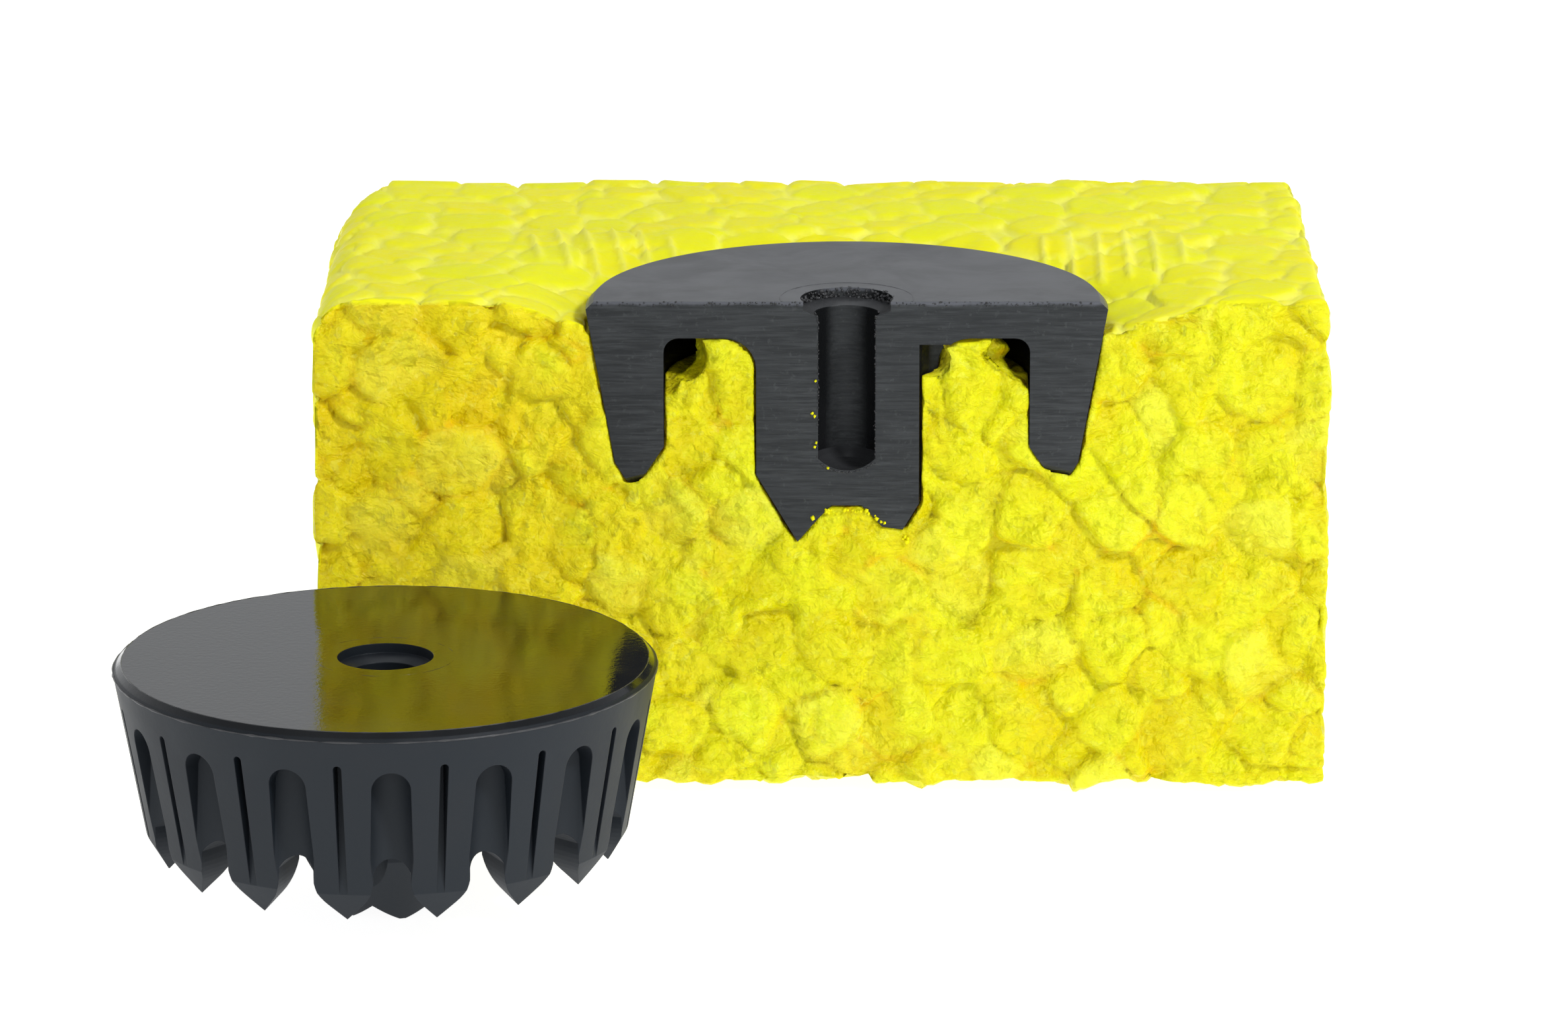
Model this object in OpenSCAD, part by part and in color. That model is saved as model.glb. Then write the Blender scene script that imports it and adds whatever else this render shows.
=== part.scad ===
// Section sample of a toothed screw insert for bead foam: a half block of foam,
// the part of an insert that the same saw cut left in it, and a whole insert beside it.
// Millimetres, +Z up. The origin is the middle of the block's underside, and the
// block's -Y face is the saw cut. The cut insert's face is flush with that face.
// Depths are measured down from an insert's top face, radii from its axis.

/* [Insert] */
// Outer diameter, just under the top chamfer
insert_d = 36; // [34:0.5:38]
// Full height, from the top face to the tips of the hub's crown
insert_h = 17.1; // [16.6:0.1:18]
// 45 degree chamfer round the top face
top_chamfer = 0.56; // [0.4:0.02:1]
// Thickness of the top plate
plate_t = 2.6; // [2.2:0.1:2.8]
// How much the outer wall's radius shrinks for each mm of depth
wall_draft = 0.18; // [0.1:0.01:0.18]
// Inner radius of the toothed ring
ring_ir = 12.67; // [12:0.01:13]
// Radius of the fillet between the ring and the plate
ring_fillet = 1; // [0.5:0.1:1.5]

/* [Ring teeth] */
// Number of teeth round the ring
ring_teeth = 16; // [14:1:16]
// Radius of the sharp ridge that the tooth tips lie on
ridge_r = 14.8; // [14.4:0.1:15.2]
// Depth of the ridge
ridge_depth = 13.5; // [13:0.1:13.8]
// Depth where the outer bevel under the wall starts
outer_bevel_depth = 11.4; // [11:0.1:11.8]
// Depth where the inner bevel under the ring starts
inner_bevel_depth = 10.3; // [9.8:0.1:10.6]
// Depth of the arched top of the notch between two teeth
web_depth = 9.1; // [8.8:0.05:9.4]
// Radius of that arch
arch_r = 1.3; // [1.25:0.05:1.6]
// Half the width of the notch between two teeth
notch_half = 1.2; // [1.1:0.02:1.24]
// Depth where a tooth's flanks start to close in to its tip
shoulder_depth = 10.35; // [10.1:0.05:10.6]
// Radius of the long rounded shoulder at the start of a flank
shoulder_r = 3; // [2:0.1:3.2]
// Slope of a flank, measured from the vertical
flank_angle = 40; // [36:1:44]

/* [Flutes and grooves] */
// Depth of the top of a flute, on the wall between two teeth
flute_top = 2.7; // [2.3:0.05:3]
// Radius of a flute's rounded top
flute_top_r = 1.27; // [1.1:0.01:1.35]
// Half the width of a flute at its lower end
flute_low_half = 1.5; // [1.4:0.02:1.6]
// Distance of a flute's floor from the axis
flute_floor = 15.5; // [15:0.1:15.8]
// Depth of the top of the thin groove down the middle of a tooth
groove_top = 2.25; // [1.8:0.05:2.6]
// Width of that groove at its top
groove_w = 0.55; // [0.4:0.05:0.8]
// Width of that groove at its lower end
groove_low_w = 0.5; // [0.4:0.05:0.7]
// Distance of the groove's floor from the axis
groove_floor = 16.05; // [15.8:0.05:16.4]

/* [Hub and bore] */
// Radius of the hub
hub_r = 6.34; // [6:0.02:6.6]
// Radius of the fillet between the hub and the plate
hub_fillet = 2.2; // [1.5:0.1:2.6]
// Number of teeth on the hub's crown, with as many flutes between them
hub_teeth = 6; // [5:1:6]
// Distance of a hub flute's floor from the axis
hub_flute_floor = 5.12; // [4.9:0.02:5.3]
// Radius of a hub flute
hub_flute_r = 1.8; // [1.6:0.1:2]
// Angle of the first crown tooth from the flute at angle 0
crown_phase = 14; // [0:1:30]
// Depth where the hub's outer bevel starts
hub_bevel_depth = 12.3; // [12:0.1:12.8]
// Radius of the circle that the crown tips lie on
crown_r = 3.55; // [3.4:0.05:3.8]
// Width of a crown tooth's blunt tip
crown_tip_w = 0.3; // [0.1:0.1:0.6]
// Slope of a crown tooth's flanks, measured from the horizontal
crown_angle = 42; // [36:1:44]
// How steeply the valleys between the crown teeth run down and out from the middle
crown_tilt = 18; // [0:1:25]
// Radius of the flat at the middle of the crown
crown_flat_r = 1.5; // [1.2:0.1:1.8]
// Depth of that flat
crown_flat_depth = 14.5; // [14.2:0.1:14.7]
// Diameter of the blind screw bore
bore_d = 4.5; // [4.2:0.1:4.8]
// Depth where the bore's straight wall ends and its domed end starts
bore_wall_end = 11.15; // [10.5:0.05:11.4]
// Height of the domed end
bore_dome = 1.05; // [0.8:0.05:1.2]
// Diameter of the counterbore at the bore's mouth
mouth_d = 6.4; // [6:0.1:6.8]
// Depth of the counterbore
mouth_depth = 0.65; // [0.5:0.05:0.8]
// Depth where the bore's straight wall starts
bore_wall_start = 1.05; // [0.9:0.05:1.3]

/* [Foam block] */
// Width of the block, along X
block_w = 70.6; // [60:1:80]
// Depth of the block, along Y
block_d = 39.6; // [30:1:45]
// Height of the block
block_h = 35.4; // [30:1:45]
// Width, along X, of the piece broken off the rear left corner
corner_cut_x = 3.3; // [1:0.5:6]
// Length, along Y, of that piece
corner_cut_y = 9.5; // [4:0.5:12]
// Gap between the foam and the seated insert
seat_gap = 0.3; // [0.2:0.05:0.6]
// Height of the void between the plate and the foam under it
void_h = 0.8; // [0.5:0.1:1.5]
// Distance between the two vent marks on the top face
vent_spacing = 36; // [30:1:44]
// Place of the point midway between them, along X
vent_x = 2.5; // [-5:0.5:5]
// Distance of the vent marks behind the saw cut
vent_y = 16.4; // [10:0.2:22]
// Diameter of a vent mark
vent_d = 12; // [8:1:14]
// Number of ribs in a vent mark
vent_ribs = 6; // [4:1:7]
// Distance between neighbouring ribs
vent_pitch = 1.95; // [1.6:0.05:2.2]
// Width of a rib
vent_rib_w = 0.35; // [0.25:0.05:0.6]
// Height of a rib
vent_rib_h = 0.25; // [0.15:0.05:0.4]

/* [Places] */
// Place of the cut insert's axis along the block, from the block's middle
seat_x = 1.5; // [-6:0.5:6]
// Distance of the cut insert's axis behind the saw cut
saw_offset = 1.1; // [0:0.1:2]
// Place of the whole insert's axis along X
loose_x = -29.2; // [-32:0.1:-20]
// Distance of the whole insert's axis in front of the saw cut
loose_gap = 24.5; // [22:0.5:40]
// Turn of the whole insert about its axis
loose_turn = -86; // [-180:1:180]
// Turn of the cut insert about its axis
seat_turn = 124.6; // [-180:0.1:180]

/* [Hidden] */
$fn = 96;
insert_r = insert_d / 2;
bore_r = bore_d / 2;
front_y = -block_d / 2;
past = 1; // how far a cutting shape runs past the face that it opens
arc_steps = 6;
far = 60; // longer than any insert, for half spaces

// Height above the crown tips of a given depth under the top face
function up(depth) = insert_h - depth;

// Outer wall's radius at a given depth
function wall_r(depth) = insert_r - wall_draft * (depth - top_chamfer);

// Points on an arc about [x, y], from angle a to angle b
function arc(x, y, r, a, b) =
    [for (i = [0:arc_steps]) let (t = a + (b - a) * i / arc_steps) [x + r * cos(t), y + r * sin(t)]];

// The same outline on both sides of the axis of symmetry x = 0
function both_sides(half) =
    concat(half, [for (i = [len(half) - 1:-1:0]) if (half[i][0] > 0) [-half[i][0], half[i][1]]]);

// Half outline of plate, ring and hub, as radius and height, with no bore
function insert_outline() = concat(
    [
        [0, up(0)],
        [insert_r - top_chamfer, up(0)],
        [insert_r, up(top_chamfer)],
        [wall_r(outer_bevel_depth), up(outer_bevel_depth)],
        [ridge_r, up(ridge_depth)],
        [ring_ir, up(inner_bevel_depth)]
    ],
    arc(ring_ir - ring_fillet, up(plate_t + ring_fillet), ring_fillet, 0, 90),
    arc(hub_r + hub_fillet, up(plate_t + hub_fillet), hub_fillet, 90, 180),
    [
        [hub_r, up(hub_bevel_depth)],
        [crown_r, up(insert_h)],
        [crown_flat_r, up(crown_flat_depth)],
        [0, up(crown_flat_depth)]
    ]
);

// Copies the children round the axis, starting at an angle
module around(count, phase = 0) {
    for (i = [0:count - 1]) rotate(phase + i * 360 / count) children();
}

// Runs an outline of [width, height] out along +X from radius r0 to r1
module outwards(r0, r1) {
    translate([r0, 0, 0]) rotate([90, 0, 90]) linear_extrude(r1 - r0) children();
}

// Space of one flute: a round-bottomed channel with a rounded top
module flute() {
    low = ridge_depth + past;
    middle = flute_top + flute_top_r;
    intersection() {
        outwards(ring_ir, insert_r + past) {
            translate([0, up(middle)]) circle(flute_top_r);
            polygon(both_sides([[flute_top_r, up(middle)], [flute_low_half, up(low)]]));
        }
        translate([flute_floor + flute_low_half, 0, up(low)]) linear_extrude(low) {
            circle(flute_low_half);
            translate([0, -flute_low_half]) square([insert_r, 2 * flute_low_half]);
        }
    }
}

// Space of the thin groove down the middle of one tooth
module groove() {
    middle = groove_top + groove_w / 2;
    outwards(groove_floor, insert_r + past) {
        translate([0, up(middle)]) circle(groove_w / 2);
        polygon(both_sides([[groove_w / 2, up(middle)], [groove_low_w / 2, up(ridge_depth + past)]]));
    }
}

// Space between two teeth: an arch above, straight sides, then flanks that open out
module notch() {
    centre = up(web_depth + arch_r);
    spring_angle = acos(notch_half / arch_r);
    low = ridge_depth + past;
    flank_x = notch_half + shoulder_r * (1 - cos(flank_angle));
    flank_depth = shoulder_depth + shoulder_r * sin(flank_angle);
    outwards(ring_ir - past, insert_r + past) polygon(both_sides(concat(
        arc(0, centre, arch_r, 90, spring_angle),
        arc(notch_half + shoulder_r, up(shoulder_depth), shoulder_r, 180, 180 + flank_angle),
        [[flank_x + (low - flank_depth) * tan(flank_angle), up(low)]]
    )));
}

// Space of one flute in the hub
module hub_flute() {
    translate([hub_flute_floor + hub_flute_r, 0, -past])
        cylinder(r = hub_flute_r, h = up(plate_t + hub_flute_r / 4) + past);
}

// Space between two crown teeth: a V that runs down and out from the middle
module crown_notch() {
    half = crown_r * sin(180 / hub_teeth) - crown_tip_w / 2;
    slope = tan(crown_angle);
    width = half + 2 * past;
    translate([crown_r * cos(180 / hub_teeth), 0, half * slope]) rotate([0, crown_tilt, 0])
        outwards(-past, hub_r) polygon(both_sides([[0, 0], [width, -width * slope * cos(crown_tilt)]]));
}

// Blind bore with a domed end, a short cone and a counterbore at its mouth
module screw_bore() {
    dome_r = (bore_r * bore_r + bore_dome * bore_dome) / (2 * bore_dome);
    rotate_extrude() polygon(concat(
        arc(0, up(bore_wall_end + bore_dome - dome_r), dome_r, -90, -acos(bore_r / dome_r)),
        [
            [bore_r, up(bore_wall_start)],
            [mouth_d / 2, up(mouth_depth)],
            [mouth_d / 2, up(-past)],
            [0, up(-past)]
        ]
    ));
}

// The whole moulding, standing on its crown at z = 0
module insert() {
    difference() {
        rotate_extrude() polygon(insert_outline());
        around(ring_teeth) flute();
        around(ring_teeth) notch();
        around(ring_teeth, 180 / ring_teeth) groove();
        around(hub_teeth, crown_phase + 180 / hub_teeth) hub_flute();
        around(hub_teeth, crown_phase + 180 / hub_teeth) crown_notch();
        screw_bore();
    }
}

// Space that the seated insert needs, wide enough to lift it straight out
module seat() {
    column_top = up(plate_t + void_h);
    rotate_extrude() polygon([
        [0, up(-past)],
        [insert_r + seat_gap, up(-past)],
        [insert_r + seat_gap, up(top_chamfer)],
        [wall_r(outer_bevel_depth) + seat_gap, up(outer_bevel_depth)],
        [ridge_r, up(ridge_depth + seat_gap)],
        [ring_ir - seat_gap, up(inner_bevel_depth + seat_gap)],
        [ring_ir - seat_gap, column_top - ring_fillet],
        [ring_ir - seat_gap - ring_fillet, column_top],
        [hub_r + hub_fillet, column_top],
        [hub_r + seat_gap, column_top - hub_fillet],
        [hub_r + seat_gap, up(hub_bevel_depth)],
        [crown_r, -seat_gap],
        [0, -seat_gap]
    ]);
}

// Ribs that one slotted core vent leaves on the foam's skin
module vent_mark() {
    for (i = [0:vent_ribs - 1]) {
        x = (i - (vent_ribs - 1) / 2) * vent_pitch;
        length = 2 * sqrt(vent_d * vent_d / 4 - x * x);
        translate([x - vent_rib_w / 2, -length / 2, -past])
            cube([vent_rib_w, length, past + vent_rib_h]);
    }
}

module foam_block() {
    half_w = block_w / 2;
    half_d = block_d / 2;
    color("gold") difference() {
        union() {
            linear_extrude(block_h) polygon([
                [-half_w, -half_d],
                [half_w, -half_d],
                [half_w, half_d],
                [-half_w + corner_cut_x, half_d],
                [-half_w, half_d - corner_cut_y]
            ]);
            for (side = [-1, 1])
                translate([vent_x + side * vent_spacing / 2, front_y + vent_y, block_h]) vent_mark();
        }
        translate([seat_x, front_y + saw_offset, block_h - insert_h]) seat();
    }
}

module cut_insert() {
    color("dimgray") translate([seat_x, front_y + saw_offset, block_h - insert_h]) intersection() {
        rotate(seat_turn) insert();
        translate([-far / 2, -saw_offset, -past]) cube([far, far, insert_h + 2 * past]);
    }
}

module whole_insert() {
    color("darkslategray") translate([loose_x, front_y - loose_gap, 0]) rotate(loose_turn) insert();
}

foam_block();
cut_insert();
whole_insert();
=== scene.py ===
import bpy
import math
import numpy as np
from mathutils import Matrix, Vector
from mathutils.bvhtree import BVHTree


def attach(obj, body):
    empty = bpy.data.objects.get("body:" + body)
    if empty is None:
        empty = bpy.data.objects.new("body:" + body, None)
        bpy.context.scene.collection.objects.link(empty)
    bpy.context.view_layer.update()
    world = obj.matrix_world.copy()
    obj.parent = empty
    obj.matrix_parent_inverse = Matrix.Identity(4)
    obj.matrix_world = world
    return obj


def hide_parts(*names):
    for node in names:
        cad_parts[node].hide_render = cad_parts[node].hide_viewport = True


# The look of a section sample: a sawn half block of bead foam with a half insert in its top
# face, and a whole insert in front of it. The foam's visible surface is made here, round the
# seated insert. The inserts are the CAD's own, with materials and small details added.

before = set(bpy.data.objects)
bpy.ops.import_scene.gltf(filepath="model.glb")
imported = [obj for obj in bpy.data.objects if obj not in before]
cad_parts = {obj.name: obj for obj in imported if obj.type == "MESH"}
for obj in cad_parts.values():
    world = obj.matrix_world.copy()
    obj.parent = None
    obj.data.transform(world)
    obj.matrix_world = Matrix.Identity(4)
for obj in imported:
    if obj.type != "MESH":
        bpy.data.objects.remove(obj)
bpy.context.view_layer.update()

# ---------------------------------------------------------------- named values, in mm
M = 0.001

# Foam block, as in the CAD
BLOCK_W = 70.6
BLOCK_D = 39.6
BLOCK_H = 35.4
LEFT = -BLOCK_W / 2
RIGHT = BLOCK_W / 2
FRONT = -BLOCK_D / 2
BACK = BLOCK_D / 2
CORNER_CUT = (3.3, 9.5)

# The insert, as in the CAD, and the seated one's axis
SEAT_X = 1.5
SEAT_Y = FRONT + 1.1
INSERT_R = 18
INSERT_H = 17.1
TOP_CHAMFER = 0.56
MOUTH_R = 3.2
MOUTH_DEPTH = 0.7
BORE_END = 11.15

# Half the width of the bore in the saw cut, its domed end's width and height, half the width
# of the cut plate's lip, and the radius of the ring mark round the mouth
CUT_BORE_HALF = 1.96
DOME_HALF = 1.9
DOME_RISE = 0.95
LIP_HALF = 17.2
WITNESS_R = 4.6

# The whole insert's axis, and its top
LOOSE = (-29.2, FRONT - 24.5, INSERT_H)

# Foam detail: the beads' lattice cell and how far their centres stray, the gap at the seated
# insert, and the height of the underside before the beads bulge down to the floor
BEAD_CELL = 5.0
BEAD_JITTER = 0.95
SEAT_GAP = 0.06
UNDERSIDE = 0.75

# Rounding of the foam's edges: left, rear and right of the top, and where the corner is cut
EDGE_LEFT = 2.8
EDGE_REAR = 1.2
EDGE_RIGHT = 0.9
EDGE_CORNER = 1.0

# The foam left out over the insert's plate and in its bore, down from the top
PLATE_CLEAR = 2.2
CORE_R = 3
CORE_CLEAR = 12.8

# The grid that the foam's surface is made on: where it is fine along x, over the vent marks,
# how deep it stays fine behind the sawn face, how far it passes the block, and its spacing
VENT_SPANS = ((-22, -9), (14, 27))
FINE_DEPTH = 2.2
MIDDLE_DEPTH = 10
GRID_MARGIN = 1.2
GRID_MARGIN_FRONT = 1.1
GRID_MARGIN_TOP = 1
GRID_MARGIN_FLOOR = 0.7
STEP_VENT = 0.25
STEP_MIDDLE = 0.29
STEP_SIDE = 0.3
STEP_UP = 0.29
STEP_FRONT = 0.25
STEP_DEEP = 0.45
STEP_BACK = 0.6

# Reach of the search for the seated insert, and how near it the front face is calmed
INSERT_REACH = 0.9
CALM_REACH = 2.5

# Share of the faces that stays when the back and underside are thinned
THIN = 0.74

# Vent marks on the top skin
VENT_X = 2.5
VENT_SPACING = 36
VENT_Y = FRONT + 16.4
VENT_R = 6
VENT_PITCH = 1.95
VENT_RIBS = 6
VENT_LEAN = 0.13
VENT_RIB_WIDE = 0.21
VENT_RIB_HIGH = 0.34

# Foam colours, from the torn beads to the moulded skin, with the painted shade and painted light among
# them as marked
YELLOW = {
    "lemon": (0.83, 0.81, 0.012, 1),
    "amber lemon": (0.81, 0.72, 0.006, 1),
    "dark bead": (0.80, 0.69, 0.004, 1),
    "light bead": (0.86, 0.84, 0.035, 1),
    "flake": (0.92, 0.89, 0.10, 1),
    "membrane": (0.90, 0.86, 0.10, 1),
    # painted shade on the block's left side, away from the key lamp
    "left side shade": (0.82, 0.63, 0.004, 1),
    # painted shade in the seams, pits and low places of the torn beads
    "crevice_shade": (0.78, 0.56, 0.0, 1),
    # painted shade, darker still, deep in the pits
    "pit shade": (0.84, 0.42, 0.0, 1),
    "light facet": (0.89, 0.86, 0.04, 1),
    "dark facet": (0.74, 0.59, 0.002, 1),
    "glint": (0.95, 0.93, 0.2, 1),
    "dark speck": (0.60, 0.50, 0.01, 1),
    "light speck": (0.97, 0.95, 0.25, 1),
    # painted light: a greener tint wherever the left side's painted shade fades
    "lit tint": (0.93, 1.0, 0.8, 1),
    "torn tint": (1, 1, 0.65, 1),
    "skin": (0.95, 0.89, 0.008, 1),
    "green skin": (0.88, 0.90, 0.014, 1),
    "skin edge": (0.98, 0.97, 0.12, 1),
    "skin pit": (0.97, 0.96, 0.16, 1),
    # painted highlight on the tops of the vent ribs
    "rib highlight": (0.97, 0.95, 0.2, 1),
    "shade": (0.76, 0.58, 0.0, 1),
    # painted shade on the foam in the pocket round the seated insert
    "pocket": (0.62, 0.48, 0.01, 1),
}

# Plastic colours, sawn and moulded
BLACK = {
    "sawn top": (0.10, 0.103, 0.11, 1),
    "sawn side": (0.006, 0.0065, 0.007, 1),
    "moulded top": (0.004, 0.004, 0.0045, 1),
    "moulded side": (0.006, 0.009, 0.013, 1),
    "flash": (0.05, 0.05, 0.052, 1),
    "smudge": (0.02, 0.02, 0.022, 1),
    "cut": (0.013, 0.0142, 0.0148, 1),
    "scratch": (0.042, 0.045, 0.047, 1),
    "grain": (0.08, 0.085, 0.085, 1),
    "lip": (0.115, 0.12, 0.14, 1),
    "worn": (0.055, 0.056, 0.055, 1),
}

# Camera, in metres: a long lens, a little above the block
VIEW_TARGET = Vector((-0.00282, -0.0237, 0.02109))
VIEW_DISTANCE = 0.510
VIEW_ELEVATION = math.radians(15.06)
VIEW_LENS = 170.4
SENSOR_WIDTH = 36

# Light: the world's brightness at the horizon and overhead, and between which heights it
# changes. Each lamp has a place, a power and a size, in metres and watts.
HORIZON = 0.8
ZENITH = 0.3
HORIZON_RISE = 0.15
ZENITH_RISE = 0.75
SKY_COLOUR = (0.97, 0.985, 1, 1)
LAMP_TARGET = Vector((0, -0.01, 0.02))
KEY = ((0.34, -0.36, 0.44), 2.4, 0.1)
OVER = ((-0.05, 0.12, 0.5), 0.35, 0.35)
FLOOR_SIZE = 4
FLOOR_GLOW = 0.93

scene = bpy.context.scene
scene.view_settings.view_transform = "Standard"


# ---------------------------------------------------------------- noise and beads
TABLE = np.random.RandomState(11).rand(65536, 4).astype(np.float32)


def pick(ix, iy, iz, seed=0):
    """Four random numbers for each whole-number cell."""
    key = (ix * 73856093) ^ (iy * 19349663) ^ (iz * 83492791) ^ (seed * 2654435)
    return TABLE[key & 65535]


def smooth(t):
    """0 to 1 with no corner at either end."""
    t = np.clip(t, 0, 1)
    return t * t * (3 - 2 * t)


def noise(p, size, seed=0):
    """Smooth noise in -1..1 with features about as large as size, one size or one for each axis."""
    q = p / np.asarray(size, dtype=np.float32)
    cell = np.floor(q).astype(np.int64)
    t = smooth(q - cell)
    total = 0
    for dx in (0, 1):
        for dy in (0, 1):
            for dz in (0, 1):
                w = (t[:, 0] if dx else 1 - t[:, 0]) * (t[:, 1] if dy else 1 - t[:, 1])
                w = w * (t[:, 2] if dz else 1 - t[:, 2])
                total = total + w * pick(cell[:, 0] + dx, cell[:, 1] + dy, cell[:, 2] + dz, seed)[:, 0]
    return total * 2 - 1


def nearest_beads(p, keep=4):
    """Distances to the nearest bead centres, the centres, and each bead's random numbers."""
    count = len(p)
    best_d = np.full((count, keep), 1e9, dtype=np.float32)
    best_c = np.zeros((count, keep, 3), dtype=np.float32)
    best_r = np.zeros((count, keep, 4), dtype=np.float32)
    near = (-1, 0, 1)
    steps = [(i, j, k) for i in near for j in near for k in near if abs(i) + abs(j) + abs(k) < 3]
    for lattice in (0, 0.5):
        base = np.round(p / BEAD_CELL - lattice).astype(np.int64)
        for i, j, k in steps:
            cell = base + (i, j, k)
            r = pick(cell[:, 0], cell[:, 1], cell[:, 2], 1 + int(lattice * 2))
            c = (cell + lattice) * BEAD_CELL + (r[:, :3] - 0.5) * 2 * BEAD_JITTER
            d = np.linalg.norm(p - c, axis=1).astype(np.float32)
            extra = pick(cell[:, 0], cell[:, 1], cell[:, 2], 7 + int(lattice * 2))
            for rank in range(keep):
                closer = d < best_d[:, rank]
                if not closer.any():
                    continue
                d2 = np.where(closer, best_d[:, rank], d)
                c2 = np.where(closer[:, None], best_c[:, rank], c)
                e2 = np.where(closer[:, None], best_r[:, rank], extra)
                best_d[:, rank] = np.where(closer, d, best_d[:, rank])
                best_c[:, rank] = np.where(closer[:, None], c, best_c[:, rank])
                best_r[:, rank] = np.where(closer[:, None], extra, best_r[:, rank])
                d, c, extra = d2, c2, e2
    return best_d, best_c, best_r


# ---------------------------------------------------------------- the foam block's surface
def spaced(*stops):
    """Grid lines from the first stop on, at the spacing named with each later stop."""
    lines = [np.array([stops[0]])]
    for end, step in stops[1:]:
        start = lines[-1][-1]
        count = max(1, int(round((end - start) / step)))
        lines.append(np.linspace(start, end, count + 1)[1:])
    return np.concatenate(lines)


def rounded(a, b, radius):
    """Where two half spaces meet, with the edge between them rounded."""
    inner = np.minimum(np.maximum(a + radius, b + radius), 0)
    return inner + np.hypot(np.maximum(a + radius, 0), np.maximum(b + radius, 0)) - radius


def skin_dip(x, y):
    """How far the moulded skin dips towards the insert's rim."""
    dx, dy = x - SEAT_X, y - SEAT_Y
    out = np.hypot(dx, dy) - INSERT_R
    side = np.clip(np.abs(dx) / np.maximum(np.hypot(dx, dy), 1e-3), 0, 1) ** 2
    depth = 0.7 + side * np.where(dx > 0, 1.6, 1.15)
    reach = 4 + side * np.where(dx > 0, 5, 2.6)
    return depth * np.clip(1 - out / reach, 0, 1) ** 1.3


def insert_tree():
    """The seated insert's surface, in mm, for distances and rays."""
    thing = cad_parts["cut_insert"]
    points = [tuple((thing.matrix_world @ v.co) / M) for v in thing.data.vertices]
    return BVHTree.FromPolygons(points, [tuple(p.vertices) for p in thing.data.polygons])


def insert_distance(tree, xs, ys, zs, reach):
    """Signed distance to the seated insert on the grid, cut off at reach."""
    out = np.full((len(xs), len(ys), len(zs)), reach, dtype=np.float32)
    near_x = [i for i, x in enumerate(xs) if abs(x - SEAT_X) < INSERT_R + reach]
    near_y = [j for j, y in enumerate(ys) if FRONT - reach < y < SEAT_Y + INSERT_R + reach]
    near_z = [k for k, z in enumerate(zs) if z > BLOCK_H - INSERT_H - reach]
    up = Vector((0, 0, 1))
    for i in near_x:
        for j in near_y:
            if math.hypot(xs[i] - SEAT_X, ys[j] - SEAT_Y) > INSERT_R + reach:
                continue
            hits = []
            start = 0.0
            while len(hits) < 12:
                hit = tree.ray_cast(Vector((xs[i], ys[j], start)), up)
                if hit[0] is None:
                    break
                hits.append(hit[0].z)
                start = hit[0].z + 1e-3
            for k in near_z:
                found = tree.find_nearest(Vector((xs[i], ys[j], zs[k])), reach)
                distance = reach if found[0] is None else found[3]
                inside = sum(1 for z in hits if z > zs[k]) % 2 == 1
                out[i, j, k] = -distance if inside else distance
    return out


def voids(x, y, z):
    """Hollows that the beads left under the insert's plate, as a signed distance."""
    r = np.hypot(x - SEAT_X, y - SEAT_Y)
    depth = BLOCK_H - z
    hollow = np.hypot(r - 12.2, (depth - 3.4) * 0.7) - 1.5
    # each hollow: across from the insert's axis, y, depth, and its three radii
    for cx, cy, cd, rx, ry, rd in (
        (-11.2, FRONT + 0.5, 3.6, 1.35, 2.6, 1.9),
        (-12.3, FRONT + 0.2, 5.0, 0.75, 2.0, 1.6),
        (5.7, FRONT + 0.4, 4.0, 1.25, 2.2, 1.2),
        (11.9, FRONT + 0.5, 3.2, 1.9, 2.6, 1.5),
        (12.6, FRONT + 0.2, 4.6, 0.8, 2.0, 1.6),
        (8.2, FRONT - 0.3, 2.3, 1.6, 1.2, 0.8),
    ):
        q = np.sqrt(((x - SEAT_X - cx) / rx) ** 2 + ((y - cy) / ry) ** 2 + ((depth - cd) / rd) ** 2)
        hollow = np.minimum(hollow, (q - 1) * min(rx, ry, rd))
    return hollow


def foam_field(xs, ys, zs, insert):
    """Signed distance to the foam's plain surface on the grid, below 0 in the foam."""
    x = xs[:, None, None].astype(np.float32)
    y = ys[None, :, None].astype(np.float32)
    z = zs[None, None, :].astype(np.float32)
    top = z - (BLOCK_H - skin_dip(x, y))
    left_top = rounded(LEFT - x, top, EDGE_LEFT)
    cut_x, cut_y = CORNER_CUT
    slope = math.hypot(cut_x, cut_y)
    corner = ((LEFT - x) * cut_y + (y - BACK) * cut_x + cut_x * cut_y) / slope
    rear = rounded(y - BACK, top, EDGE_REAR)
    lean = 0.3 + 0.3 * np.clip((z - BLOCK_H / 2) / 12, 0, 1)
    right_top = rounded(x - RIGHT + lean, top, EDGE_RIGHT)
    body = np.maximum(np.maximum(left_top, rear), np.maximum(corner, right_top))
    body = np.maximum(body, rounded(corner, top, EDGE_CORNER))
    body = np.maximum(body, np.maximum(FRONT - y, UNDERSIDE - z))
    over_plate = np.hypot(x - SEAT_X, y - SEAT_Y) - INSERT_R
    above = np.maximum(over_plate - SEAT_GAP, -(z - (BLOCK_H - PLATE_CLEAR)))
    bore = np.maximum(over_plate + INSERT_R - CORE_R, -(z - (BLOCK_H - CORE_CLEAR)))
    above = np.minimum(above, bore)
    pocket = np.minimum(np.minimum(insert - SEAT_GAP, above), voids(x, y, z))
    return np.maximum(body, -pocket)


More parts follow.
